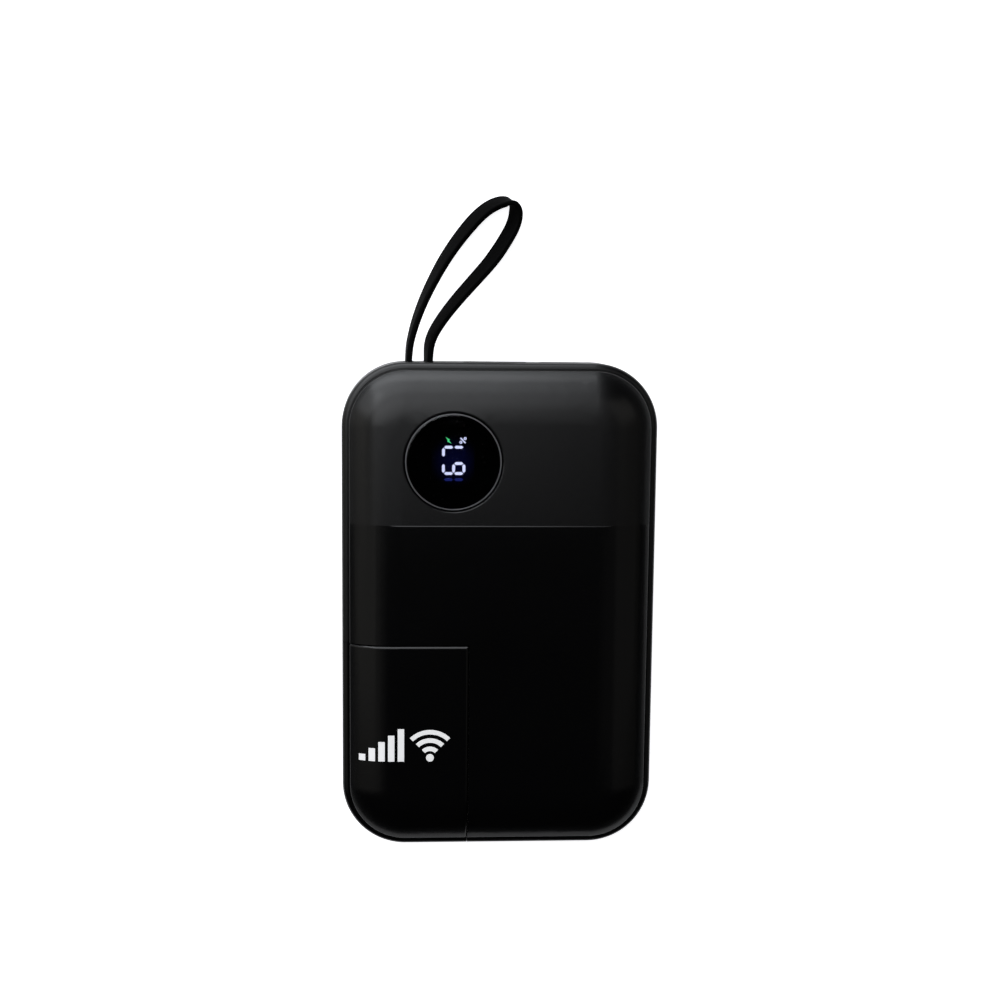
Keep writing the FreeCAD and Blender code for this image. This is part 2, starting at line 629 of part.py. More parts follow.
def makeBoard():
    board = plate("boardPlate", [
        ("-board_side", "board_end"), ("board_arm", "board_end"),
        ("board_arm", "board_step"), ("board_side", "board_step"),
        ("board_side", "board_top"), ("-board_side", "board_top")], "board_thick")
    doc.recompute()
    pad = board.Tip
    corners = [i for i, edge in enumerate(pad.Shape.Edges, start=1)
               if along("z")(edge) and abs(edge.BoundBox.YMax - size("board_top")) < 1e-6]
    fillet = board.newObject("PartDesign::Fillet", "boardCorners")
    fillet.Base = (pad, [f"Edge{i}" for i in corners])
    bind(fillet, Radius="board_corner")
    bind(board, z="board_low")
    holes = [rod(f"boardHole{i}", "z", "screw_radius + 0.15", "board_low - 1", "4", x=x, y=y)
             for i, (x, y) in enumerate(SCREWS)]
    piece("main_board", cut("mainBoard", board, *holes))
    screws = [screwAt(f"screw{i}", x, y) for i, (x, y) in enumerate(SCREWS)]
    piece("board_screws", group("boardScrews", *screws))
    top, low = "board_low + board_thick", "board_low"
    chips = [("processor", ("4", "12"), ("27", "35"), (top, f"{top} + 1.1")),
             ("powerChip", ("16.5", "21.5"), ("30", "35"), (top, f"{top} + 0.9")),
             ("displayDriver", ("-26", "-20"), ("24", "30"), (top, f"{top} + 1")),
             ("boostChip", ("-12.5", "-9"), ("12", "16"), (f"{low} - 0.9", low))]
    piece("controller_chips", group("controllerChips", *[block(name, x, y, z) for name, x, y, z in chips]))
    piece("power_inductor", softBlock("inductor", ("9", "16"), ("25", "32"), (f"{low} - 3", low), "z", 1.2))
    cans = [rod(f"capacitor{i}", "z", "2", f"{low} - 4.5", "4.5", x=x, y="28.5")
            for i, x in enumerate(("-2", "3"))]
    piece("capacitors", group("capacitors", *cans))
    body = softBlock("powerSwitchBody", ("26.4", "29"), around("button_y", "6"), ("11", low), "y", 0.3)
    stem = block("powerSwitchStem", ("28.8", "29.7"), around("button_y", "2.6"),
                 around("body_thick / 2 + 0.6", "1.4"))
    piece("power_switch", fuse("powerSwitch", body, stem))


def socketPair(label, middle, mouth, way, sizes, tongue):
    """A socket under the board, opening towards +Y or -Y: a metal shell and a plastic tongue."""
    depth, width, height, metal, bend = sizes
    low, high = (f"{mouth} - {depth}", mouth) if way > 0 else (mouth, f"{mouth} + {depth}")
    centre = f"board_low - {height} / 2"
    outside = softBlock(label + "Outside", around(middle, width), (low, high), around(centre, height),
                        "y", bend)
    bored = (f"{low} + {metal}", f"{high} + 1") if way > 0 else (f"{low} - 1", f"{high} - {metal}")
    inside = softBlock(label + "Inside", around(middle, f"{width} - 2 * {metal}"), bored,
                       around(centre, f"{height} - 2 * {metal}"), "y", bend - size(metal) * 0.9)
    piece(label + "_shell", cut(label + "Shell", outside, inside))
    wide, lift, thick, back = tongue
    root = (f"{low} + {metal}", f"{high} - {back}") if way > 0 else (f"{low} + {back}", f"{high} - {metal}")
    foot = (root[0], f"{root[0]} + 1.5") if way > 0 else (f"{root[1]} - 1.5", root[1])
    blade = block(label + "Blade", around(middle, wide), root, around(f"{centre} + {lift}", thick))
    base = block(label + "Base", around(middle, f"{width} - 2 * {metal} - 1.6"), foot,
                 around(centre, f"{height} - 2 * {metal} - 0.5"))
    piece(label + "_tongue", fuse(label + "Tongue", blade, base))


def makeSockets():
    wideFlat = ("a_depth", "a_width", "a_height", "a_sheet", 0.6)
    smallOval = ("c_depth", "c_width", "c_height", "c_sheet", 1.5)
    socketPair("usb_a_port", "port_a_x", "port_mouth", 1, wideFlat, ("11.1", "0.95", "1.8", "1"))
    socketPair("usb_c_port", "port_c_x", "port_mouth", 1, smallOval, ("6.7", "0", "0.7", "0.8"))
    socketPair("stick_socket", "socket_x", "bay_end + 0.2", -1, wideFlat, ("11.1", "1", "1.7", "1"))


def makeCells():
    left, right = "cell_left", "cell_left + cell_width"
    ends = ("cell_top - cell_length", "cell_top")
    heights = {"rear": "cell_low", "front": "cell_low + cell_thick + cell_tape"}
    for side, low in heights.items():
        rise = (low, f"{low} + cell_thick")
        piece(f"battery_cell_{side}", softBlock(side + "Cell", (left, right), ends, rise, "z", size("cell_round")))
    middle = "cell_low + cell_thick"
    piece("cell_tape", block("cellTape", (f"{left} + 4", f"{right} - 4"),
                             (f"{ends[0]} + 6", f"{ends[1]} - 6"), (middle, f"{middle} + cell_tape")))
    piece("cell_foam_pad", block("foamPad", (f"{left} + 4", f"{right} - 5"),
                                 (f"{ends[0]} + 6", f"{ends[1]} - 4"), ("cover_wall", "cell_low")))
    board = ("cell_top + 0.8", "cell_top + 1.6")
    piece("protection_board", block("protectionBoard", ("1", "24"), board, ("6", "14.5")))
    tabs = [block(f"tab{side}{x}", around(x, "3"), ("cell_top", board[0]),
                  around(f"{low} + cell_thick / 2", "0.15"))
            for side, low in heights.items() for x in ("5", "20")]
    piece("cell_tabs", group("cellTabs", *tabs))
    for colour, x in (("red", 9.0), ("black", 14.0)):
        start = FreeCAD.Vector(x, size("cell_top") + 1.6, 8.0)
        bend = start + FreeCAD.Vector(0, 3, 0)
        end = FreeCAD.Vector(x, bend.y, size("board_low"))
        wire = doc.addObject("Part::Feature", colour + "Wire")
        wire.Shape = tube([start, bend, end], 0.6)
        piece(f"battery_wire_{colour}", wire)


def bendRadius(before, here, after):
    """How far a bend's arc starts from its corner, and the arc's radius."""
    back, ahead = before - here, after - here
    reach = 0.45 * min(back.Length, ahead.Length)
    turn = math.pi - back.getAngle(ahead)
    return reach, reach / math.tan(turn / 2)


def tube(points, radius):
    """A round tube along straight runs joined by tangent arcs, each as large as its two runs allow."""
    edges = []
    last = points[0]
    for before, here, after in zip(points, points[1:], points[2:]):
        reach, arcRadius = bendRadius(before, here, after)
        back = FreeCAD.Vector(before - here).normalize()
        ahead = FreeCAD.Vector(after - here).normalize()
        bisector = FreeCAD.Vector(back + ahead).normalize()
        centre = here + bisector * math.hypot(arcRadius, reach)
        start, end = here + back * reach, here + ahead * reach
        edges.append(Part.LineSegment(last, start).toShape())
        edges.append(Part.Arc(start, centre - bisector * arcRadius, end).toShape())
        last = end
    edges.append(Part.LineSegment(last, points[-1]).toShape())
    path = Part.Wire(edges)
    ring = Part.Wire([Part.Circle(points[0], points[1] - points[0], radius).toShape()])
    solid = path.makePipeShell([ring], True, False)
    volume = math.pi * radius ** 2 * path.Length
    if abs(solid.Volume / volume - 1) > 0.01:
        raise ValueError(f"tube volume {solid.Volume:.2f} is not {volume:.2f}")
    return solid


def makeStrap():
    pin = rod("anchorPin", "x", "pin_radius", "strap_left - 3.3", "strap_right - strap_left + 6.6",
              y="pin_y", z="body_thick / 2")
    piece("strap_anchor_pin", pin)
    route = [FreeCAD.Vector(*point) for point in STRAP_ROUTE]
    strap = doc.addObject("Part::Feature", "strapTube")
    strap.Shape = tube(route, size("strap_thick") / 2)
    piece("strap_loop", strap)
    tightest = min(bendRadius(*corner)[1] for corner in zip(route, route[1:], route[2:]))
    print(f"tightest bend of the strap: {tightest:.1f} mm")


def makePowerButton():
    face = "body_width / 2 - button_sink"
    inner = "body_width / 2 - frame_wall"
    cap = softBlock("buttonCap", (f"{inner} - button_play - 0.1", face),
                    around("button_y", "button_length"), around("body_thick / 2", "button_height"), "x", 1.58)
    rim = rounded("buttonRim", cap, 0.2, level("x", size("body_width") / 2 - size("button_sink")))
    flange = softBlock("buttonFlange", (f"{inner} - button_play - flange_thick", f"{inner} - button_play"),
                       around("button_y", "button_length + 2 * flange_reach"),
                       around("body_thick / 2", "button_height + 2 * flange_reach"), "x", 1.5)
    piece("power_button", fuse("powerButton", rim, flange))


def makeStickCasing(shell):
    region = corner("stickRegion", "bay_side - bay_gap", "bay_end - bay_gap")
    inside = corner("stickInside", "bay_side - bay_gap - stick_wall", "bay_end - bay_gap - stick_wall")
    side, end = size("bay_side") - size("bay_gap"), size("bay_end") - size("bay_gap")
    for name, inner, face in (("front", "inner", size("body_thick")), ("rear", "rearInner", 0)):
        solid = common(f"stick{name}Solid", shell[name], region)
        near = shoulderEdges(side, end, face)
        soft = rounded(f"stick{name}Soft", solid, size("stick_edge"), near)
        hollow = common(f"stick{name}Hollow", shell[inner], inside)
        piece(f"stick_{name}_cover", cut(f"stick{name}Cover", soft, hollow))
    room = common("stickRoom", shell["cavity"], inside)
    ring = cut("stickRing", common("stickBelt", shell["belt"], region), room)
    plug = softBlock("plugHole", around("socket_x", "plug_width + 0.2"), ("bay_end - 3", "bay_end + 1"),
                     around("board_low - a_height / 2", "plug_height + 0.2"), "y", 0.5)
    door = softBlock("doorHole", around("tray_x", "door_width + 0.2"),
                     ("-body_length / 2 - 1", "-body_length / 2 + door_thick + 0.1"),
                     around("tray_low + tray_thick / 2", "door_height + 0.2"), "y", 1.3)
    slot = block("trayHole", around("tray_x", "tray_width + 0.3"),
                 ("-body_length / 2 - 1", "-body_length / 2 + frame_wall + 0.5"),
                 around("tray_low + tray_thick / 2", "tray_thick + 0.3"))
    reset = softBlock("resetHole", ("-body_width / 2 - 1", "-body_width / 2 + frame_wall + 1"),
                      around("reset_y", "reset_length + 0.2"),
                      around("body_thick / 2", "reset_height + 0.2"), "x", 0.98)
    piece("stick_frame", cut("stickFrame", ring, plug, door, slot, reset))


def shoulderEdges(side, end, face):
    """Edges of the stick's cover where its front meets the two faces along the gap."""

    def test(edge):
        box = edge.BoundBox
        onSide = abs(box.XMin - side) < 1e-3 and abs(box.XMax - side) < 1e-3
        onEnd = abs(box.YMin - end) < 1e-3 and abs(box.YMax - end) < 1e-3
        reach = max(abs(z - face) for z in (box.ZMin, box.ZMax))
        return onSide != onEnd and reach < 4 and box.XLength + box.YLength > 1

    return test


def makeStickInside():
    top = "card_low + board_thick"
    card = plate("cardPlate", [("card_left", "card_end"), ("card_right", "card_end"),
                               ("card_right", "card_top"), ("card_left", "card_top")], "board_thick")
    doc.recompute()
    pad = card.Tip
    rounding = [i for i, edge in enumerate(pad.Shape.Edges, start=1) if along("z")(edge)
                and edge.BoundBox.XMax < size("card_left") + 1 and edge.BoundBox.YMax < size("card_end") + 1]
    fillet = card.newObject("PartDesign::Fillet", "cardCorner")
    fillet.Base = (pad, [f"Edge{i}" for i in rounding])
    bind(fillet, Radius="board_corner + 0.5")
    piece("stick_board", bind(card, z="card_low"))
    lid = softBlock("shieldOut", ("-28", "-13"), ("-34", "-17"), (top, f"{top} + 2"), "z", 0.5)
    under = block("shieldIn", ("-27.8", "-13.2"), ("-33.8", "-17.2"), (f"{top} - 1", f"{top} + 1.8"))
    piece("modem_shield", cut("shieldCan", lid, under))
    piece("modem_chip", block("modemChip", ("-25.5", "-16.5"), ("-30", "-21"), (top, f"{top} + 1.2")))
    piece("wifi_chip", block("wifiChip", ("-22", "-16"), ("-43", "-37"), (top, f"{top} + 0.9")))
    wall = ("card_left - 0.5", "card_left")
    piece("lte_antenna", block("lteAntenna", wall, ("-38", "-29"), ("6.5", "15")))
    piece("wifi_antenna", block("wifiAntenna", wall, ("-20", "-11"), ("6.5", "15")))


def makePlug():
    centre = "board_low - a_height / 2"
    root = "bay_end - bay_gap"
    ends = (f"{root} - plug_root", f"{root} + plug_reach")
    outside = softBlock("plugOutside", around("socket_x", "plug_width"), ends,
                        around(centre, "plug_height"), "y", 0.5)
    inside = softBlock("plugInside", around("socket_x", "plug_width - 2 * a_sheet"),
                       (f"{ends[0]} - 1", f"{ends[1]} + 1"), around(centre, "plug_height - 2 * a_sheet"), "y", 0.25)
    windows = [block(f"plugWindow{i}", around(f"socket_x + {x}", "2.2"), around(f"{ends[1]} - 6.2", "2.2"),
                     (centre, f"{centre} + 5")) for i, x in enumerate((-2.6, 2.6))]
    piece("usb_plug_shell", cut("plugShell", outside, inside, *windows))
    floor = f"{centre} - plug_height / 2 + a_sheet"
    rise = "(plug_height - 2 * a_sheet) / 2"
    face = f"{floor} + {rise} - 0.1"
    tongue = softBlock("plugTongue", around("socket_x", "plug_width - 2 * a_sheet - 0.1"),
                       (ends[0], f"{ends[1]} - 0.4"), (floor, face), "y", 0.28)
    piece("usb_plug_tongue", tongue)
    run = (f"{ends[1]} - 8.6", f"{ends[1]} - 1.2")
    contacts = [block(f"plugContact{i}", around(f"socket_x + {x}", "1"), run, (face, f"{face} + 0.1"))
                for i, x in enumerate((-3.5, -1.0, 1.0, 3.5))]
    piece("plug_contacts", group("plugContacts", *contacts))


def makeTray():
    end = "-body_length / 2"
    low, high = "tray_low", "tray_low + tray_thick"
    socket = block("simSocketBox", around("tray_x", "tray_width + 0.9"),
                   ("card_end + 0.4", f"{end} + 3 + tray_length + 0.9"), (f"{low} - 0.35", "card_low"))
    channel = block("simChannel", around("tray_x", "tray_width + 0.3"),
                    ("card_end - 1", f"{end} + 3 + tray_length + 0.5"), (f"{low} - 0.1", f"{high} + 0.15"))
    piece("sim_socket", cut("simSocket", socket, channel))
    frame = block("trayFrame", around("tray_x", "tray_width"), (f"{end} + 0.5", f"{end} + 3 + tray_length"),
                  (low, high))
    door = softBlock("trayDoor", around("tray_x", "door_width"), (end, f"{end} + door_thick"),
                     around(f"{low} + tray_thick / 2", "door_height"), "y", 1.25)
    middle = f"{end} + 2.2 + tray_length / 2"
    pocket = block("trayPocket", around("tray_x", "chip_width + 0.1"), around(middle, "chip_length + 0.1"),
                   (f"{high} - chip_thick - 0.05", f"{high} + 1"))
    sight = block("trayWindow", around("tray_x", "chip_width - 2.4"), around(middle, "chip_length - 2.4"),
                  (f"{low} - 1", f"{high} + 1"))
    eject = rod("ejectHole", "y", "0.45", f"{end} - 1", "door_thick + 0.5",
                x="tray_x + 4.4", z=f"{low} + tray_thick / 2")
    piece("sim_tray", cut("simTray", fuse("trayBody", frame, door), pocket, sight, eject))
    piece("sim_card", block("simCard", around("tray_x", "chip_width"), around(middle, "chip_length"),
                            (f"{high} - chip_thick - 0.05", f"{high} - 0.05")))


def makeReset():
    inner = "-body_width / 2 + frame_wall"
    cap = softBlock("resetCap", ("-body_width / 2 + 0.3", f"{inner} + 0.1"),
                    around("reset_y", "reset_length"), around("body_thick / 2", "reset_height"), "x", 0.88)
    flange = block("resetFlange", (f"{inner} + 0.08", f"{inner} + 0.4"),
                   around("reset_y", "reset_length + 1.4"), around("body_thick / 2", "reset_height + 1"))
    piece("reset_button", fuse("resetButton", cap, flange))
    top = "card_low + board_thick"
    body = block("resetSwitchBody", ("-29.4", "-28.2"), around("reset_y", "3.2"), (top, f"{top} + 2.6"))
    stem = block("resetSwitchStem", ("-30.2", "-29.3"), around("reset_y", "1.2"),
                 around("body_thick / 2", "0.8"))
    piece("reset_switch", fuse("resetSwitch", body, stem))


def makeMark(shell):
    """A generic sign in ink on the stick's face: rising signal bars, and a fan of arcs over a dot."""
    tall = ("body_thick - shoulder_drop", "body_thick + 1")
    rise = "shoulder_drop + 1"
    count = 5
    bars = [block(f"signalBar{i}", around(f"ink_x - 9.5 + {2.1 * i}", "1.4"),
                  ("ink_low", f"ink_low + ink_height * {(i + 1) / count}"), tall) for i in range(count)]
    foot = {"x": "ink_x + 5.2", "y": "ink_low + 0.8"}
    shapes = bars + [rod("fanDot", "z", "0.85", tall[0], rise, **foot)]
    for i, radius in enumerate((2.5, 4.35, 6.2)):
        wide = rod(f"fanOut{i}", "z", f"{radius}", tall[0], rise, **foot)
        narrow = rod(f"fanIn{i}", "z", f"{radius} - 1", "body_thick / 2", "body_thick", **foot)
        wide.Angle = 90
        wide.Placement.Rotation = FreeCAD.Rotation(FreeCAD.Vector(0, 0, 1), 45)
        shapes.append(cut(f"fanArc{i}", wide, narrow))
    raised = bind(group("inkLevel", shell["front"]), z="ink_thick")
    skin = cut("inkSkin", raised, shell["front"])
    piece("stick_mark", common("stickMark", fuse("markShapes", *shapes), skin))


def exportPieces():
    """Writes a STEP file for each piece, once the document has no failed object."""
    doc.recompute()
    failed = [thing.Label for thing in doc.Objects if "Invalid" in thing.State or "Error" in thing.State]
    for label, thing in pieces.items():
        if thing.Shape.isNull() or not thing.Shape.isValid() or not thing.Shape.Solids:
            failed.append(label)
    if failed:
        raise RuntimeError(f"these objects failed: {failed}")
    os.makedirs("parts", exist_ok=True)
    for label, thing in pieces.items():
        thing.Shape.exportStep(f"parts/{label}.step")
        print(f"{label}: {len(thing.Shape.Solids)} solid(s), {thing.Shape.Volume:.1f} mm3")


forms = makeForms()
makeCasing(forms)
makeWindow()
makeDisplay()
makeBoard()
makeSockets()
makeCells()
makeStrap()
makePowerButton()
makeStickCasing(forms)
makeStickInside()
makePlug()
makeTray()
makeReset()
makeMark(forms)
exportPieces()
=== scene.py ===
# Pocket mobile hotspot lying on its back on a pale table, with its wrist strap laid out.
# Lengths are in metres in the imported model's frame, or in millimetres where a note says mm.
import math
import bmesh
import bpy
from mathutils import Matrix, Vector


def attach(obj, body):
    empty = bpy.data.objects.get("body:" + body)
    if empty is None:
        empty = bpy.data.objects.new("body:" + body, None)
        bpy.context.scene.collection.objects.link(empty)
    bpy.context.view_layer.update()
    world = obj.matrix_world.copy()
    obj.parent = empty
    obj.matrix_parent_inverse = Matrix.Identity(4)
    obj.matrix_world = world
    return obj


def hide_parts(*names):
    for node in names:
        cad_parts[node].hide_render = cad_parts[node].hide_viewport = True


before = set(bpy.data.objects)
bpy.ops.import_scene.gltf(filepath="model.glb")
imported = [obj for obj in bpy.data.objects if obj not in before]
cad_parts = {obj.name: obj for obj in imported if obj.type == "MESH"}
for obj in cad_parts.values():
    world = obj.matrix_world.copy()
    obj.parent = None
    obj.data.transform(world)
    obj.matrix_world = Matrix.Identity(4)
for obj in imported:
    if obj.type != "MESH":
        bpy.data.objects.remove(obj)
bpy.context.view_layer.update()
scene = bpy.context.scene
mm = 0.001


# camera
cameraSetup = {
    "target": (0, 0, 0.012), "distance": 0.4,
    "tilt": 9.0, "yaw": 4.16, "roll": 0.56,    # degrees: from the strap end, from the left, about the view
    "lens": 65.17, "sensor": 36, "shiftX": 0.0031, "shiftY": 0.1033, "clip": (0.01, 10),
}


def makeCamera(setup):
    tilt, yaw, roll = (math.radians(setup[key]) for key in ("tilt", "yaw", "roll"))
    back = Vector((-math.sin(yaw) * math.cos(tilt), math.sin(tilt), math.cos(yaw) * math.cos(tilt)))
    right = Vector((0, 1, 0)).cross(back).normalized()
    up = back.cross(right)
    across = right * math.cos(roll) + up * math.sin(roll)
    upward = up * math.cos(roll) - right * math.sin(roll)
    data = bpy.data.cameras.new("camera")
    data.lens = setup["lens"]
    data.sensor_width = setup["sensor"]
    data.shift_x, data.shift_y = setup["shiftX"], setup["shiftY"]
    data.clip_start, data.clip_end = setup["clip"]
    camera = bpy.data.objects.new("camera", data)
    scene.collection.objects.link(camera)
    place = Matrix((across, upward, back)).transposed().to_4x4()
    place.translation = Vector(setup["target"]) + back * setup["distance"]
    camera.matrix_world = place
    scene.camera = camera


makeCamera(cameraSetup)
print("camera made")


# helpers for meshes
def meshFrom(name, verts, faces):
    mesh = bpy.data.meshes.new(name)
    mesh.from_pydata([tuple(vert) for vert in verts], [], faces)
    work = bmesh.new()
    work.from_mesh(mesh)
    bmesh.ops.recalc_face_normals(work, faces=work.faces)
    work.to_mesh(mesh)
    work.free()
    return mesh


def sideFaces(start, count):
    # quads from one ring of points, which begins at start, to the next ring
    return [(start + j, start + (j + 1) % count, start + count + (j + 1) % count, start + count + j)
            for j in range(count)]


def addPiece(name, mesh, body, slot, *replaced):
    thing = bpy.data.objects.new(name, mesh)
    scene.collection.objects.link(thing)
    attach(thing, body)
    if replaced:
        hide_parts(*replaced)
    return thing


# wrist strap: a flat band, out of the left slot, round its far end and back into the right slot
strap = {
    "route": [
        (-0.0196, 0.0498, 0.0115), (-0.0197, 0.0546, 0.0114), (-0.0187, 0.0594, 0.0104),
        (-0.0168, 0.0648, 0.0082), (-0.0141, 0.0704, 0.0055), (-0.0110, 0.0758, 0.0035),
        (-0.0072, 0.0810, 0.0025), (-0.0035, 0.0851, 0.0022), (-0.0001, 0.0872, 0.0023),
        (0.0028, 0.0876, 0.0022), (0.0042, 0.0857, 0.0023), (0.0037, 0.0826, 0.0022),
        (0.0017, 0.0790, 0.0028), (-0.0013, 0.0746, 0.0040), (-0.0054, 0.0701, 0.0059),
        (-0.0094, 0.0657, 0.0081), (-0.0128, 0.0614, 0.0100), (-0.0150, 0.0576, 0.0112),
        (-0.0154, 0.0538, 0.0115), (-0.0153, 0.0498, 0.0115),
    ],
    "width": 0.0040, "thick": 0.0013, "edgeRound": 0.00045,
    "leanTo": (0.83, -0.55, 0),    # the way its upper edge leans
    "lean": [    # share of the length, degrees
        (0, 2), (0.1, 9), (0.2, 17), (0.3, 28), (0.4, 38), (0.65, 39), (0.8, 29), (0.93, 19), (1, 8),
    ],
    "exit": (-0.0196, 0.0530, 0.0115), "length": 0.0935,
}


def splinePoints(route, name):
    data = bpy.data.curves.new(name, "CURVE")
    data.dimensions = "3D"
    spline = data.splines.new("NURBS")
    spline.points.add(len(route) - 1)
    for point, place in zip(spline.points, route):
        point.co = (*place, 1)
    spline.order_u = 3
    spline.use_endpoint_u = True
    spline.resolution_u = 10
    carrier = bpy.data.objects.new(name, data)
    mesh = bpy.data.meshes.new_from_object(carrier)
    points = [vertex.co.copy() for vertex in mesh.vertices]
    bpy.data.objects.remove(carrier)
    bpy.data.curves.remove(data)
    bpy.data.meshes.remove(mesh)
    return points


def between(table, share):
    for (a, low), (b, high) in zip(table, table[1:]):
        if share <= b:
            return low + (high - low) * (share - a) / (b - a)
    return table[-1][1]


def bandSection(width, thick, radius, steps=5):
    # a rounded rectangle, as distances (across the band, through it)
    points = []
    for quarter, (sx, sy) in enumerate(((1, 1), (-1, 1), (-1, -1), (1, -1))):
        for i in range(steps + 1):
            turn = math.radians(90 * quarter + 90 * i / steps)
            points.append((sx * (width / 2 - radius) + radius * math.cos(turn),
                           sy * (thick / 2 - radius) + radius * math.sin(turn)))
    return points


def makeStrap(values):
    line = splinePoints(values["route"], "strapLine")
    section = bandSection(values["width"], values["thick"], values["edgeRound"])
    run = [0]    # distance along the band at each point of its line
    for a, b in zip(line, line[1:]):
        run.append(run[-1] + (b - a).length)
    girth = [0]    # distance round the band at each point of its section
    for a, b in zip(section, section[1:] + section[:1]):
        girth.append(girth[-1] + math.dist(a, b))
    verts, faces, cornerMap = [], [], []
    leanTo = Vector(values["leanTo"]).normalized()
    for i, point in enumerate(line):
        ahead = (line[min(i + 1, len(line) - 1)] - line[max(i - 1, 0)]).normalized()
        lean = math.radians(between(values["lean"], run[i] / run[-1]))
        across = Vector((0, 0, 1)) * math.cos(lean) + leanTo * math.sin(lean)
        across = (across - ahead * across.dot(ahead)).normalized()
        through = ahead.cross(across)
        verts += [point + across * a + through * b for a, b in section]
    count = len(section)
    for i in range(len(line) - 1):
        faces += sideFaces(i * count, count)
        cornerMap += [[(girth[j], run[i]), (girth[j + 1], run[i]),
                       (girth[j + 1], run[i + 1]), (girth[j], run[i + 1])] for j in range(count)]
    for end in (range(count), [(len(line) - 1) * count + j for j in reversed(range(count))]):
        faces.append(tuple(end))
        cornerMap.append([(0, 0)] * count)
    mesh = bpy.data.meshes.new("wristStrap")
    mesh.from_pydata([tuple(vert) for vert in verts], [], faces)
    layer = mesh.uv_layers.new(name="band")    # distances round and along the band
    for face, places in zip(mesh.polygons, cornerMap):
        for corner, place in zip(face.loop_indices, places):
            layer.data[corner].uv = place
    mesh.shade_smooth()
    band = addPiece("wristStrap", mesh, "root", "strap_fabric", "strap_loop")
    print("strap:", round(run[-1] / mm, 1), "mm along its middle")
    return band


wristStrap = makeStrap(strap)


# display: bars with pointed ends, a dim figure beside them, and a percent sign
display = {    # mm
    "rise": 4.4, "width": 2.16, "pitch": 3.47, "base": -7.96, "first": 27.02,
    "bar": 0.62, "gap": 0.3, "face": 20.4, "thick": 0.15, "dimThick": 0.09,
    "lit": {1: "acdefg", 2: "abc"}, "dim": {0: "bc", 1: "b", 2: "defg"},    # digit place: its bars
    "percent": {"x": -8.2, "y": 36.5, "stroke": 1.1, "slim": 0.2,
                "ring": 0.32, "hole": 0.15, "apart": (0.46, 0.4)},
}
bevel = {"from": 0.6, "shrink": 0.94}    # shares of a bar's thickness and of its outline
barPlaces = {    # shares of half the width and half the rise, and the axis that the bar follows
    "a": (0, 1, "y"), "b": (1, 0.5, "x"), "c": (1, -0.5, "x"), "d": (0, -1, "y"),
    "e": (-1, -0.5, "x"), "f": (-1, 0.5, "x"), "g": (0, 0, "y"),
}


def barOutline(x, y, axis, length, width):
    half, slim = length / 2, width / 2
    shape = [(half, 0), (half - slim, slim), (slim - half, slim),
             (-half, 0), (slim - half, -slim), (half - slim, -slim)]
    return [(x + a, y + b) if axis == "x" else (x + b, y + a) for a, b in shape]


def raised(outlines, low, thick):
    # prisms over flat outlines, with a small bevel round their upper edge
    verts, faces = [], []
    for shape in outlines:
        start, count = len(verts), len(shape)
        middleX, middleY = (sum(p[i] for p in shape) / count for i in (0, 1))
        for height, shrink in ((0, 1), (thick * bevel["from"], 1), (thick, bevel["shrink"])):
            verts += [((middleX + (x - middleX) * shrink) * mm, (middleY + (y - middleY) * shrink) * mm,
                       (low + height) * mm) for x, y in shape]
        faces += sideFaces(start, count) + sideFaces(start + count, count)
        faces.append(tuple(start + j for j in reversed(range(count))))
        faces.append(tuple(start + 2 * count + j for j in range(count)))
    return verts, faces


def digitBars(values, letters):
    shapes = []
    for digit, wanted in letters.items():
        for letter in wanted:
            across, up, axis = barPlaces[letter]
            x = values["base"] - values["rise"] / 2 * (1 + up)
            y = values["first"] + values["pitch"] * digit + values["width"] / 2 * across
            length = (values["rise"] / 2 if axis == "x" else values["width"]) - values["gap"]
            shapes.append(barOutline(x, y, axis, length, values["bar"]))
    return shapes


def ringPieces(x, y, outer, inner, count=20):
    turns = [2 * math.pi * i / count for i in range(count + 1)]
    return [[(x + r * math.cos(t), y + r * math.sin(t))
             for r, t in ((inner, a), (outer, a), (outer, b), (inner, b))] for a, b in zip(turns, turns[1:])]


def percentSign(sign):
    half, slim = sign["stroke"] / 2, sign["slim"] / 2
    shapes = [[(sign["x"] + a * half + b * slim, sign["y"] - a * half + b * slim)
               for a, b in ((1, 1), (-1, 1), (-1, -1), (1, -1))]]
    for side in (-1, 1):
        shapes += ringPieces(sign["x"] + side * sign["apart"][0], sign["y"] + side * sign["apart"][1],
                             sign["ring"], sign["hole"])
    return shapes


def makeDisplay(values):
    bright = digitBars(values, values["lit"]) + percentSign(values["percent"])
    faint = digitBars(values, values["dim"])
    litMesh = meshFrom("litDigits", *raised(bright, values["face"], values["thick"]))
    dimMesh = meshFrom("dimDigits", *raised(faint, values["face"], values["dimThick"]))
    lit = addPiece("litDigits", litMesh, "root", "digit_lit", "display_digits_lit")
    dim = addPiece("dimDigits", dimMesh, "root", "digit_dim", "display_digits_dim")
    print("display:", len(litMesh.polygons), "faces in its lit bars")
    return lit, dim


litDigits, dimDigits = makeDisplay(display)


# helpers for nodes
def feed(tree, target, inputs):
    # link each socket that is given, and set each plain value
    for key, value in inputs.items():
        if isinstance(value, bpy.types.NodeSocket):
            tree.links.new(value, target.inputs[key])
        else:
            target.inputs[key].default_value = value


def node(tree, kind, inputs=None, **settings):
    made = tree.nodes.new(kind)
    for key, value in settings.items():
        setattr(made, key, value)
    feed(tree, made, inputs or {})
    return made


def maths(tree, operation, first, second, clamp=False):
    inputs = {0: first, 1: second}
    return node(tree, "ShaderNodeMath", inputs, operation=operation, use_clamp=clamp).outputs[0]


def plus(tree, first, second, clamp=False):
    return maths(tree, "ADD", first, second, clamp)


def minus(tree, first, second, clamp=False):
    return maths(tree, "SUBTRACT", first, second, clamp)


def times(tree, first, second, clamp=False):
    return maths(tree, "MULTIPLY", first, second, clamp)


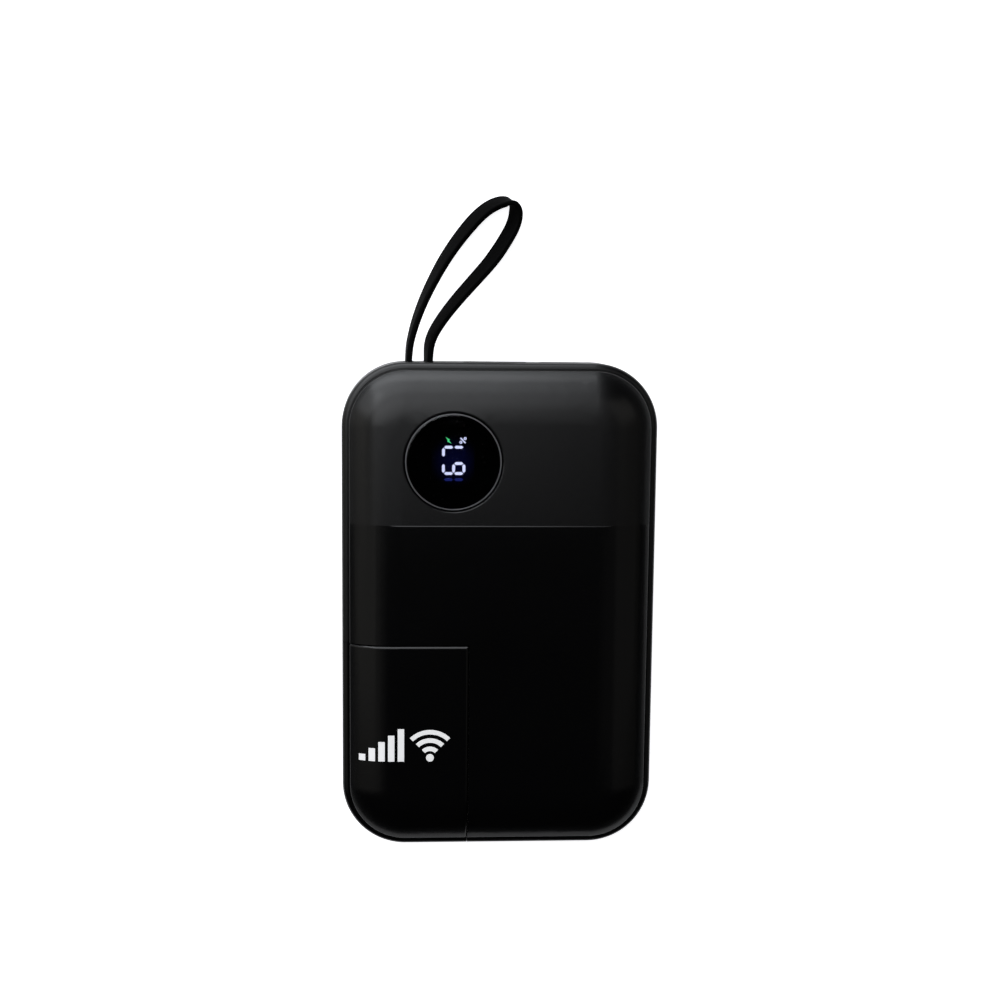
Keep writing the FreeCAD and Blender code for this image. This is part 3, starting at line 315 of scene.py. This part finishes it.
def vectorMaths(tree, operation, inputs, output):
    return node(tree, "ShaderNodeVectorMath", inputs, operation=operation).outputs[output]


def remap(tree, value, low, high, outLow=0.0, outHigh=1.0, smooth=True):
    kind = "SMOOTHSTEP" if smooth else "LINEAR"
    made = node(tree, "ShaderNodeMapRange", {"Value": value, "From Min": low, "From Max": high,
                                             "To Min": outLow, "To Max": outHigh}, interpolation_type=kind)
    return made.outputs["Result"]


def mixColour(tree, share, first, second):
    return node(tree, "ShaderNodeMix", {0: share, 6: first, 7: second}, data_type="RGBA").outputs[2]


def noiseAt(tree, vector, scale, detail=2.0):
    return node(tree, "ShaderNodeTexNoise", {"Vector": vector, "Scale": scale, "Detail": detail}).outputs[0]


def placeIn(tree, space="Object"):
    return node(tree, "ShaderNodeTexCoord").outputs[space]


def distanceAlong(tree, axis, space="Object"):
    return node(tree, "ShaderNodeSeparateXYZ", {0: placeIn(tree, space)}).outputs[axis]


def opaque(colour, strength=1.0):
    return (*(min(1, c * strength) for c in colour), 1)


# shared effects, as node groups
effects = {
    "cloudsPerMetre": 55, "cloudInGloss": 0.6, "grainInGloss": 0.4,
    # breakup and gain of the painted edge sheen
    "sheenBreakupPerMetre": 900, "sheenBreakup": (0.35, 0.65), "wearGain": 5,
    "streakStretch": 0.03, "weaveHeight": 0.8, "fuzzHeight": 0.4, "fuzzPerMetre": 9000,
}


def newGroup(name, inputs, outputs):
    tree = bpy.data.node_groups.new(name, "ShaderNodeTree")
    kinds = {"value": "NodeSocketFloat", "colour": "NodeSocketColor"}
    for label, kind, value in inputs:
        tree.interface.new_socket(label, in_out="INPUT", socket_type=kinds[kind]).default_value = value
    for label, kind in outputs:
        tree.interface.new_socket(label, in_out="OUTPUT", socket_type=kinds[kind])
    return tree, tree.nodes.new("NodeGroupInput").outputs, tree.nodes.new("NodeGroupOutput")


def makeMouldedSurface(values):
    # fine grain of a mould, with slow changes in tone and gloss
    tree, given, out = newGroup("mouldedSurface", [
        ("Colour", "colour", (0.5, 0.5, 0.5, 1)), ("Tone Change", "value", 0.1), ("Roughness", "value", 0.4),
        ("Gloss Change", "value", 0.05), ("Grain Per Metre", "value", 4000), ("Grain Height", "value", 0.3)],
        [("Colour", "colour"), ("Roughness", "value"), ("Height", "value")])
    place = placeIn(tree)
    grain = noiseAt(tree, place, given["Grain Per Metre"], 3)
    cloud = noiseAt(tree, place, values["cloudsPerMetre"], 3)
    shade = plus(tree, 1, times(tree, minus(tree, cloud, 0.5), given["Tone Change"]))
    both = plus(tree, times(tree, cloud, values["cloudInGloss"]), times(tree, grain, values["grainInGloss"]))
    gloss = times(tree, minus(tree, both, 0.5), given["Gloss Change"])
    feed(tree, out, {
        "Colour": vectorMaths(tree, "SCALE", {0: given["Colour"], "Scale": shade}, 0),
        "Roughness": plus(tree, given["Roughness"], gloss, True),
        "Height": times(tree, grain, given["Grain Height"])})
    return tree


def makePaintedEdgeSheen(values):
    # painted edge sheen, a lighter colour where an edge is: the rounded normal leaves the true one
    tree, given, out = newGroup("edgeWear", [("Reach", "value", 0.0003), ("Amount", "value", 1.0)],
                                [("Mask", "value")])
    soft = node(tree, "ShaderNodeBevel", {"Radius": given["Reach"]}, samples=4).outputs[0]
    true = node(tree, "ShaderNodeNewGeometry").outputs["Normal"]
    facing = vectorMaths(tree, "DOT_PRODUCT", {0: soft, 1: true}, "Value")
    broken = remap(tree, noiseAt(tree, placeIn(tree), values["sheenBreakupPerMetre"], 4), *values["sheenBreakup"])
    edge = times(tree, minus(tree, 1, facing, True), times(tree, broken, values["wearGain"]))
    feed(tree, out, {"Mask": times(tree, edge, given["Amount"], True)})
    return tree


def makeDustSpecks():
    # a few small specks, each in its own cell
    tree, given, out = newGroup("dustSpecks", [
        ("Cells Per Metre", "value", 160), ("Speck Size", "value", 0.035), ("Share", "value", 0.15)],
        [("Mask", "value")])
    place, scale = placeIn(tree), given["Cells Per Metre"]
    cell = node(tree, "ShaderNodeTexVoronoi", {"Vector": place, "Scale": scale}).outputs
    near = maths(tree, "LESS_THAN", cell["Distance"], given["Speck Size"])
    pick = node(tree, "ShaderNodeSeparateColor", {"Color": cell["Color"]}).outputs["Red"]
    feed(tree, out, {"Mask": times(tree, near, maths(tree, "LESS_THAN", pick, given["Share"]))})
    return tree


def makeMetalStreaks(values):
    # rolled or brushed metal: long fine streaks along Y
    tree, given, out = newGroup("metalStreaks", [
        ("Streaks Per Metre", "value", 6000), ("Roughness", "value", 0.3), ("Change", "value", 0.15)],
        [("Roughness", "value"), ("Height", "value")])
    stretch = (1, values["streakStretch"], 1)
    stretched = vectorMaths(tree, "MULTIPLY", {0: placeIn(tree), 1: stretch}, 0)
    streak = noiseAt(tree, stretched, given["Streaks Per Metre"], 2)
    change = times(tree, minus(tree, streak, 0.5), given["Change"])
    feed(tree, out, {"Roughness": plus(tree, given["Roughness"], change, True), "Height": streak})
    return tree


def makeWovenBand(values):
    # fine ribs across and along a band, from its own distances
    tree, given, out = newGroup("wovenBand", [
        ("Ribs Per Metre", "value", 2600), ("Threads Per Metre", "value", 3400)],
        [("Height", "value"), ("Mask", "value")])
    waves = []
    for axis, key in (("X", "Threads Per Metre"), ("Y", "Ribs Per Metre")):
        counted = times(tree, distanceAlong(tree, axis, "UV"), given[key])
        waves.append(maths(tree, "SINE", times(tree, counted, 2 * math.pi), 0))
    weave = plus(tree, times(tree, times(tree, *waves), 0.5), 0.5)
    fuzz = noiseAt(tree, placeIn(tree), values["fuzzPerMetre"], 2)
    height = plus(tree, times(tree, weave, values["weaveHeight"]), times(tree, fuzz, values["fuzzHeight"]))
    feed(tree, out, {"Height": height, "Mask": weave})
    return tree


mouldedSurface = makeMouldedSurface(effects)
edgeWear = makePaintedEdgeSheen(effects)
dustSpecks = makeDustSpecks()
metalStreaks = makeMetalStreaks(effects)
wovenBand = makeWovenBand(effects)
print("effects made")


# materials
def newMaterial(name):
    made = bpy.data.materials.new(name)
    made.use_nodes = True
    return made, made.node_tree, made.node_tree.nodes["Principled BSDF"]


def placed(tree, group, **values):
    made = tree.nodes.new("ShaderNodeGroup")
    made.node_tree = group
    spaced = {key: "".join(" " + letter if letter.isupper() else letter for letter in key) for key in values}
    feed(tree, made, {spaced[key][:1].upper() + spaced[key][1:]: value for key, value in values.items()})
    return made.outputs


def bumped(tree, height, distance):
    return node(tree, "ShaderNodeBump", {"Height": height, "Distance": distance, "Strength": 1.0}).outputs[0]


plasticUsual = {
    "tone": 0.2, "gloss": 0.05, "grain": 5000, "bump": 0.000004, "glow": 0,
    # edge, wear, edgeSheenTimes: reach, amount and lightening of the painted edge sheen
    "edge": 0.0002, "wear": 0.2, "edgeSheenTimes": 2.0,
    "dust": 0.06, "dustShows": 0.25, "dustColour": (0.3, 0.3, 0.3),
}


def plastic(name, given):
    values = {**plasticUsual, **given}
    made, tree, shader = newMaterial(name)
    surface = placed(tree, mouldedSurface, colour=opaque(values["colour"]), toneChange=values["tone"],
                     roughness=values["roughness"], glossChange=values["gloss"],
                     grainPerMetre=values["grain"], grainHeight=1.0)
    edgeSheenMask = placed(tree, edgeWear, reach=values["edge"], amount=values["wear"])["Mask"]
    dusty = times(tree, placed(tree, dustSpecks, share=values["dust"])["Mask"], values["dustShows"])
    # painted edge sheen: the colour made lighter along edges
    shade = mixColour(tree, edgeSheenMask, surface["Colour"], opaque(values["colour"], values["edgeSheenTimes"]))
    rough = surface["Roughness"]
    if "satin" in values:    # the face is more satin beyond the crease
        beyond = maths(tree, "GREATER_THAN", distanceAlong(tree, "Y"), values["crease"] * mm)
        rough = plus(tree, rough, times(tree, beyond, values["satin"]))
    feed(tree, shader, {
        "Base Color": mixColour(tree, dusty, shade, opaque(values["dustColour"])),
        "Roughness": rough, "Normal": bumped(tree, surface["Height"], values["bump"]),
        # emission set by glow: a painted glow, used to brighten the white ink
        "Emission Color": opaque(values["colour"]), "Emission Strength": values["glow"]})
    return made


metalUsual = {"tone": 0.15, "change": 0.15, "streaks": 6000, "bump": 0.000003,
              "edge": 0.00015, "wear": 0.4, "edgeSheenTimes": 1.25}


def metal(name, given):
    values = {**metalUsual, **given}
    made, tree, shader = newMaterial(name)
    streaks = placed(tree, metalStreaks, roughness=values["roughness"], change=values["change"],
                     streaksPerMetre=values["streaks"])
    surface = placed(tree, mouldedSurface, colour=opaque(values["colour"]), toneChange=values["tone"])
    edgeSheenMask = placed(tree, edgeWear, reach=values["edge"], amount=values["wear"])["Mask"]
    # painted edge sheen: the colour made lighter along edges
    shade = mixColour(tree, edgeSheenMask, surface["Colour"], opaque(values["colour"], values["edgeSheenTimes"]))
    feed(tree, shader, {"Base Color": shade, "Roughness": streaks["Roughness"], "Metallic": 1,
                        "Normal": bumped(tree, streaks["Height"], values["bump"])})
    return made


def strapWeave(name, values):
    made, tree, shader = newMaterial(name)
    weave = placed(tree, wovenBand)
    low, high = (opaque(values["colour"], strength) for strength in values["tones"])
    rough, change = values["roughness"], values["roughnessChange"]
    feed(tree, shader, {
        "Base Color": mixColour(tree, weave["Mask"], low, high),
        "Roughness": remap(tree, weave["Mask"], 0, 1, rough + change, rough - change),
        "Normal": bumped(tree, weave["Height"], values["bump"]),
        "IOR": values["ior"], "Sheen Weight": values["sheen"], "Sheen Roughness": values["sheenRoughness"]})
    return made


def glow(name, values):
    made, tree, shader = newMaterial(name)
    cloud = noiseAt(tree, placeIn(tree), 700, 2)
    shade = mixColour(tree, cloud, opaque(values["light"], 0.85), opaque(values["light"], 1.1))
    if "until" in values:    # only the bars nearer than this along Y still glimmer; the unlit bars past it get a painted glow, the same as the painted spill round the digits
        start, end = values["until"] * mm, (values["until"] + values["fade"]) * mm
        paintedSpillShare = remap(tree, distanceAlong(tree, "Y"), start, end)
        shade = mixColour(tree, paintedSpillShare, shade, opaque(values["beyond"]))
    surface = placed(tree, mouldedSurface, colour=opaque(values["colour"]), roughness=0.4)
    feed(tree, shader, {"Emission Color": shade, "Emission Strength": values["strength"],
                        "Base Color": surface["Colour"], "Roughness": surface["Roughness"]})
    return made


def lightModule(name, values):
    # matte face with a painted blue glow round the lit figures: the digits' spilled light, painted as
    # emission
    made, tree, shader = newMaterial(name)
    surface = placed(tree, mouldedSurface, colour=opaque(values["colour"]), roughness=values["roughness"])
    middle = tuple(c * mm for c in values["haze"])
    offset = vectorMaths(tree, "SUBTRACT", {0: placeIn(tree), 1: middle}, 0)
    away = vectorMaths(tree, "LENGTH", {0: offset}, "Value")
    # share of the painted glow: full at its middle, gone at its reach
    share = remap(tree, away, 0, values["paintedGlowReach"] * mm, 1, 0)
    feed(tree, shader, {
        "Base Color": surface["Colour"], "Roughness": surface["Roughness"],
        "Normal": bumped(tree, surface["Height"], values["bump"]),
        "Emission Color": mixColour(tree, share, (0, 0, 0, 1), opaque(values["paintedGlowColour"])),
        "Emission Strength": values["strength"]})
    return made


def bezel(name, values):
    # black plastic with a polished lip above a given height
    made, tree, shader = newMaterial(name)
    surface = placed(tree, mouldedSurface, colour=opaque(values["colour"]), roughness=values["roughness"])
    lip = maths(tree, "GREATER_THAN", distanceAlong(tree, "Z"), values["lipAbove"] * mm)
    feed(tree, shader, {"Base Color": mixColour(tree, lip, surface["Colour"], opaque(values["lipColour"])),
                        "Metallic": lip, "Roughness": surface["Roughness"], "IOR": values["ior"]})
    return made


def window(name, values):
    made, tree, shader = newMaterial(name)
    surface = placed(tree, mouldedSurface, colour=opaque(values["colour"]), toneChange=0.02,
                     roughness=values["roughness"], glossChange=0.01, grainPerMetre=1500)
    dust = placed(tree, dustSpecks, cellsPerMetre=260, share=values["dust"])["Mask"]
    rough = plus(tree, surface["Roughness"], times(tree, dust, values["dustRoughness"]))
    feed(tree, shader, {"Base Color": surface["Colour"], "Roughness": rough,
                        "Transmission Weight": 1, "IOR": values["ior"]})
    return made


def circuitBoard(name, values):
    # solder mask over tracks, with tinned pads
    made, tree, shader = newMaterial(name)
    place = placeIn(tree)
    brick = node(tree, "ShaderNodeTexBrick", {
        "Vector": place, "Scale": 420.0, "Color1": opaque(values["mask"]),
        "Color2": opaque(values["maskDark"]), "Mortar": opaque(values["track"]),
        "Mortar Size": 0.04, "Brick Width": 1.6, "Row Height": 0.35}).outputs
    cell = node(tree, "ShaderNodeTexVoronoi", {"Vector": place, "Scale": 520.0}).outputs
    pad = maths(tree, "LESS_THAN", cell["Distance"], values["padSize"])
    surface = placed(tree, mouldedSurface, colour=brick["Color"], roughness=values["roughness"])
    feed(tree, shader, {"Base Color": mixColour(tree, pad, surface["Colour"], opaque(values["tin"])),
                        "Metallic": pad, "Roughness": surface["Roughness"],
                        "Normal": bumped(tree, plus(tree, brick["Fac"], pad), values["bump"])})
    return made


finishes = {    # slot of the record: how it is made, and its values
    "casing_plastic": (plastic, {"colour": (0.0014, 0.0014, 0.0016), "roughness": 0.15, "satin": 0.11,
                                 "crease": 18.45, "dust": 0.012}),
    "frame_plastic": (plastic, {"colour": (0.0014, 0.0014, 0.0016), "roughness": 0.26, "dust": 0.01}),
    "stick_plastic": (plastic, {"colour": (0.0014, 0.0014, 0.0016), "roughness": 0.16, "dust": 0.012}),
    "button_plastic": (plastic, {"colour": (0.004, 0.004, 0.0045), "roughness": 0.4, "grain": 3500,
                                 "bump": 0.00001}),
    "lens_dark": (window, {"colour": (0.06, 0.06, 0.065), "roughness": 0.03, "ior": 1.49,
                           "dust": 0.1, "dustRoughness": 0.1}),
    "ring_dark": (bezel, {"colour": (0.0006, 0.0006, 0.0007), "roughness": 0.35, "lipAbove": 22.5,
                          "lipColour": (0.38, 0.38, 0.4), "ior": 1.15}),
    "gasket_rubber": (plastic, {"colour": (0.01, 0.01, 0.01), "roughness": 0.8, "grain": 2500,
                                "bump": 0.00002}),
    "module_black": (lightModule, {"colour": (0.002, 0.002, 0.003), "roughness": 0.6, "bump": 0.000004,
                                   # painted glow: emission standing in for the digits' blue light spilling
                                   # onto the module face
                                   "haze": (-10, 32.0, 20.4), "paintedGlowReach": 6.0,
                                   "paintedGlowColour": (0.02, 0.03, 0.3), "strength": 0.8}),
    "digit_lit": (glow, {"colour": (0.5, 0.55, 0.6), "light": (0.68, 0.72, 1.0), "strength": 18}),
    "digit_dim": (glow, {"colour": (0.02, 0.03, 0.06), "light": (0.05, 0.08, 0.6), "strength": 3,
                         # beyond: painted glow on the unlit bars, matching the painted spill glow of the
                         # module face
                         "until": 29.5, "fade": 0.3, "beyond": (0.004, 0.006, 0.06)}),
    "icon_green": (glow, {"colour": (0.05, 0.2, 0.08), "light": (0.1, 0.9, 0.3), "strength": 14}),
    "circuit_board": (circuitBoard, {"mask": (0.018, 0.1, 0.05), "maskDark": (0.012, 0.075, 0.038),
                                     "track": (0.03, 0.16, 0.08), "tin": (0.75, 0.72, 0.6),
                                     "padSize": 0.16, "roughness": 0.35, "bump": 0.00003}),
    "chip_black": (plastic, {"colour": (0.012, 0.012, 0.013), "roughness": 0.55, "grain": 3000,
                             "bump": 0.00001}),
    "ferrite": (plastic, {"colour": (0.05, 0.05, 0.053), "roughness": 0.6, "grain": 2500, "bump": 0.00002}),
    "steel": (metal, {"colour": (0.6, 0.6, 0.61), "roughness": 0.28}),
    "pouch_foil": (metal, {"colour": (0.62, 0.63, 0.65), "roughness": 0.42, "change": 0.1,
                           "streaks": 1800}),
    "nickel": (metal, {"colour": (0.66, 0.63, 0.56), "roughness": 0.35}),
    "foam": (plastic, {"colour": (0.02, 0.02, 0.021), "roughness": 0.95, "grain": 1600, "bump": 0.0001,
                       "tone": 0.8}),
    "tape": (plastic, {"colour": (0.75, 0.74, 0.7), "roughness": 0.6}),
    "wire_red": (plastic, {"colour": (0.45, 0.012, 0.012), "roughness": 0.45}),
    "wire_black": (plastic, {"colour": (0.012, 0.012, 0.012), "roughness": 0.45}),
    "tongue_white": (plastic, {"colour": (0.75, 0.76, 0.76), "roughness": 0.4}),
    "tongue_black": (plastic, {"colour": (0.012, 0.012, 0.013), "roughness": 0.4}),
    "contact_gold": (metal, {"colour": (0.83, 0.62, 0.28), "roughness": 0.22}),
    "strap_fabric": (strapWeave, {"colour": (0.0008, 0.0008, 0.0009), "tones": (0.7, 1.4),
                                  "roughness": 0.6, "roughnessChange": 0.05, "ior": 1.12,
                                  "sheen": 0.005, "sheenRoughness": 0.4, "bump": 0.00002}),
    "antenna_brass": (metal, {"colour": (0.72, 0.56, 0.28), "roughness": 0.3}),
    "card_plastic": (plastic, {"colour": (0.75, 0.75, 0.72), "roughness": 0.45}),
    # glow: painted light, emission that brightens the white ink though it is no lamp
    "ink_white": (plastic, {"colour": (1.0, 1.0, 1.0), "roughness": 0.5, "tone": 0.01, "glow": 0.25}),
}


def dressEverything():
    made = {slot: maker(slot + "Finish", values) for slot, (maker, values) in finishes.items()}
    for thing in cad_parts.values():
        for place in thing.material_slots:
            place.material = made[place.material.name.split(".")[0]]
    for thing, slot in ((wristStrap, "strap_fabric"), (litDigits, "digit_lit"), (dimDigits, "digit_dim")):
        thing.data.materials.append(made[slot])
    print("materials:", len(made))


dressEverything()


# light, floor and background
panelUsual = {"away": 1.0, "shift": 0, "colour": (1.0, 0.98, 0.92)}
panels = {    # round: degrees from the strap end towards the left; down: degrees from overhead
    "farPanel": {"round": 0, "down": 73, "shift": -0.36, "size": (0.98, 0.34), "radiance": 3.7,
                 "colour": (0.93, 0.96, 1.0)},
    "highPanel": {"round": 0, "down": 51, "shift": -0.34, "size": (0.94, 0.4), "radiance": 2.3,
                  "colour": (0.93, 0.96, 1.0)},
    "upperPanel": {"round": 0, "down": 29, "shift": -0.32, "size": (0.9, 0.4), "radiance": 1.7,
                   "colour": (0.94, 0.96, 1.0)},
    "overheadPanel": {"round": 0, "down": 10, "shift": -0.3, "size": (0.8, 0.3), "radiance": 1.6,
                      "colour": (0.95, 0.97, 1.0)},
    "cornerPanel": {"round": 55, "down": 62, "size": (0.5, 0.7), "radiance": 1.3,
                    "colour": (0.95, 0.97, 1.0)},
    "leftInner": {"round": 90, "down": 40, "size": (0.7, 1.1), "radiance": 0.05},
    "leftWide": {"round": 90, "down": 50, "size": (0.8, 1.2), "radiance": 0.07},
    "leftMiddle": {"round": 86, "down": 52, "size": (0.6, 0.9), "radiance": 0.12},
    "leftNarrow": {"round": 80, "down": 68, "size": (0.4, 0.7), "radiance": 0.3},
    "rightInner": {"round": -84, "down": 36, "size": (0.7, 1.0), "radiance": 0.04},
    "rightPanel": {"round": -84, "down": 46, "size": (0.9, 1.0), "radiance": 0.05},
    "rightFar": {"round": -62, "down": 40, "size": (0.4, 0.7), "radiance": 0.2},
}
tableSetup = {"half": 8, "below": 0.00002, "colour": (0.82, 0.82, 0.83), "roughness": 0.8,
              "light": 1.12, "mirrored": 0.2}    # mirrored: its light as seen in glossy surfaces
surroundSetup = {"colour": (0.9, 0.93, 1.0), "horizon": 0.035, "overhead": 0.006, "fade": (0.05, 0.35)}


def makePanels():
    for name, given in panels.items():
        values = {**panelUsual, **given}
        turn, down = math.radians(values["round"]), math.radians(values["down"])
        toward = Vector((-math.sin(turn) * math.sin(down), math.cos(turn) * math.sin(down), math.cos(down)))
        across = Vector((math.cos(turn), math.sin(turn), 0))
        data = bpy.data.lights.new(name, "AREA")
        data.shape = "RECTANGLE"
        data.size, data.size_y = values["size"]
        data.energy = values["radiance"] * math.pi * data.size * data.size_y
        data.color = values["colour"]
        lamp = bpy.data.objects.new(name, data)
        scene.collection.objects.link(lamp)
        place = Matrix((across, toward.cross(across), toward)).transposed().to_4x4()
        place.translation = toward * values["away"] + across * values["shift"]
        lamp.matrix_world = place


def makeTable(values):
    half = values["half"]
    mesh = meshFrom("table", [(-half, -half, 0), (half, -half, 0), (half, half, 0), (-half, half, 0)],
                    [(0, 1, 2, 3)])
    table = bpy.data.objects.new("table", mesh)
    scene.collection.objects.link(table)
    table.location.z = -values["below"]
    table.visible_diffuse = False
    made, tree, shader = newMaterial("paleTable")
    surface = placed(tree, mouldedSurface, colour=opaque(values["colour"]), toneChange=0.02,
                     roughness=values["roughness"], grainPerMetre=800)
    mirror = node(tree, "ShaderNodeLightPath").outputs["Is Glossy Ray"]
    feed(tree, shader, {
        "Base Color": surface["Colour"], "Emission Color": surface["Colour"],
        "Emission Strength": remap(tree, mirror, 0, 1, values["light"], values["mirrored"], False)})
    mesh.materials.append(made)


def makeSurround(values):
    # white to the camera, and nearly dark overhead to everything else
    world = bpy.data.worlds.new("surround")
    world.use_nodes = True
    tree = world.node_tree
    dim = tree.nodes["Background"]
    height = distanceAlong(tree, "Z", "Generated")
    feed(tree, dim, {"Color": opaque(values["colour"]),
                     "Strength": remap(tree, height, *values["fade"], values["horizon"], values["overhead"])})
    pale = node(tree, "ShaderNodeBackground", {"Color": (1, 1, 1, 1), "Strength": 1.0})
    seen = node(tree, "ShaderNodeLightPath").outputs["Is Camera Ray"]
    both = node(tree, "ShaderNodeMixShader", {0: seen, 1: dim.outputs[0], 2: pale.outputs[0]})
    feed(tree, tree.nodes["World Output"], {"Surface": both.outputs[0]})
    scene.world = world


makePanels()
makeTable(tableSetup)
makeSurround(surroundSetup)
scene.view_settings.view_transform = "Standard"
print("lights, table and surround made")
